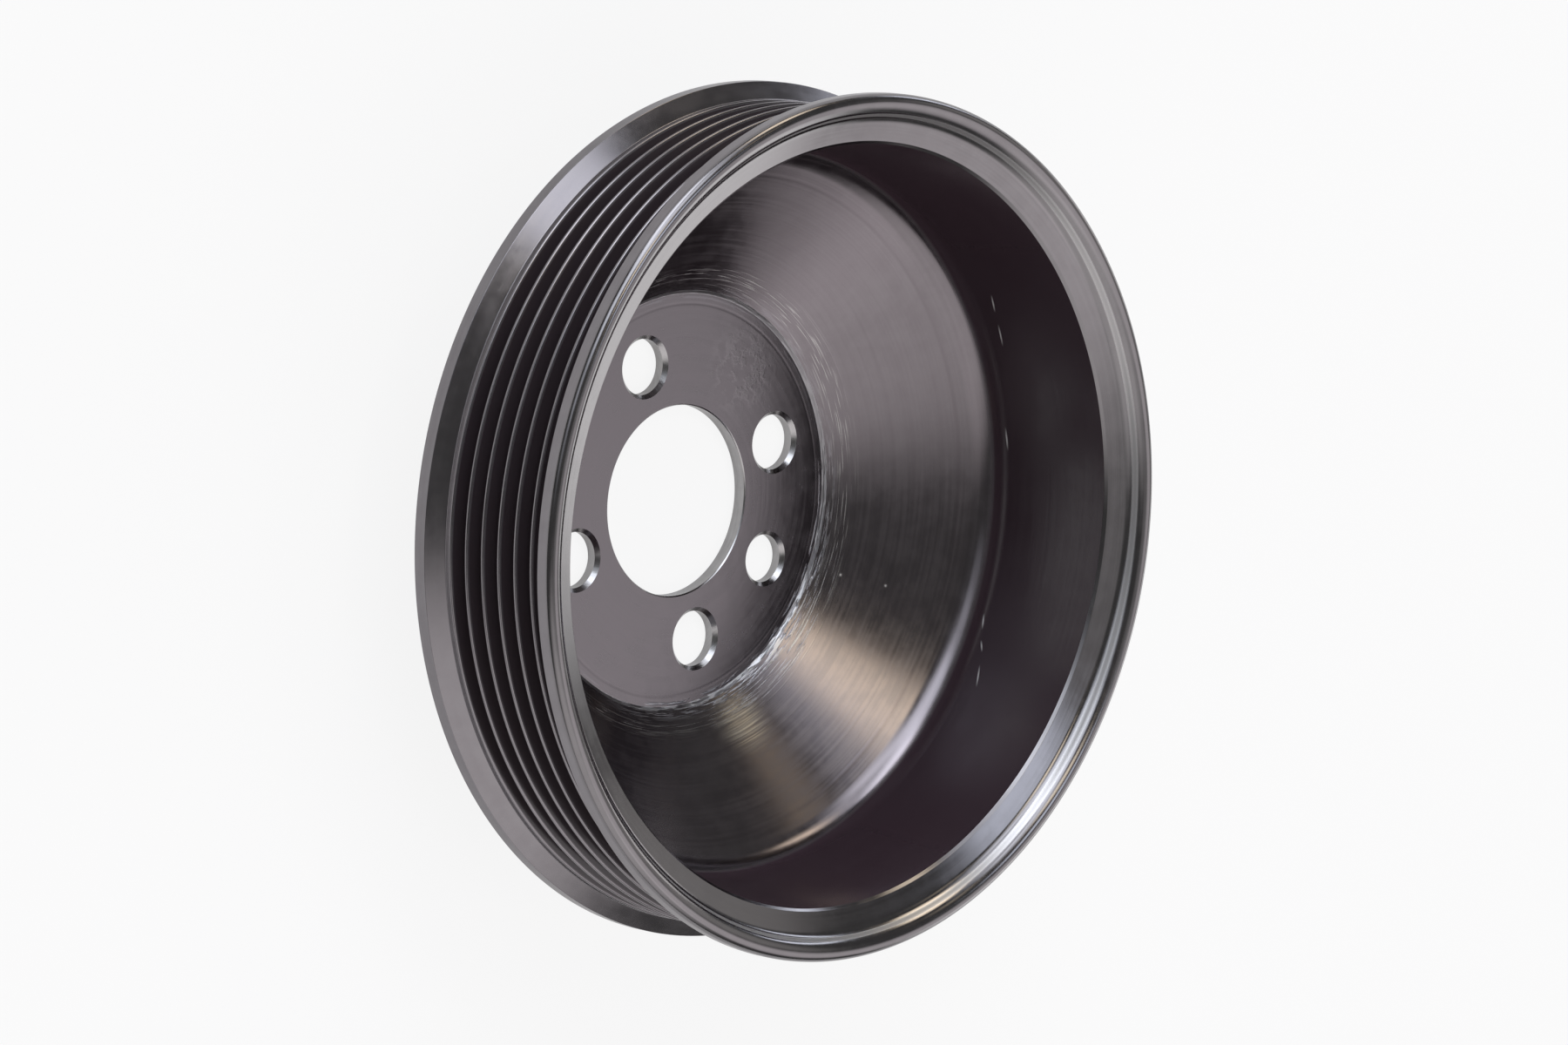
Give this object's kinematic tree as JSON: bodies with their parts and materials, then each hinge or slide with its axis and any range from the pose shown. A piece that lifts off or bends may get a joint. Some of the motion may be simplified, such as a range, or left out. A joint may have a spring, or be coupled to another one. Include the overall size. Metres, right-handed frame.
{
  "type": "ribbed belt pulley",
  "caption": "Dished one-piece steel pulley with a grooved rim for a ribbed belt, bolted by its flat hub to a flanged shaft.",
  "frame": {"origin": "on the turning axis, in the plane of the hub's mounting face", "axes": "+Z along the turning axis to the open side of the dish, +X through the two opposite bolt holes, +Y towards the offset bolt hole"},
  "size_m": [0.1364, 0.1364, 0.0443],
  "materials": {
    "black_coat": "semi-gloss"
  },
  "bodies": {
    "root": {"pulley": "black_coat"}
  },
  "joints": []
}
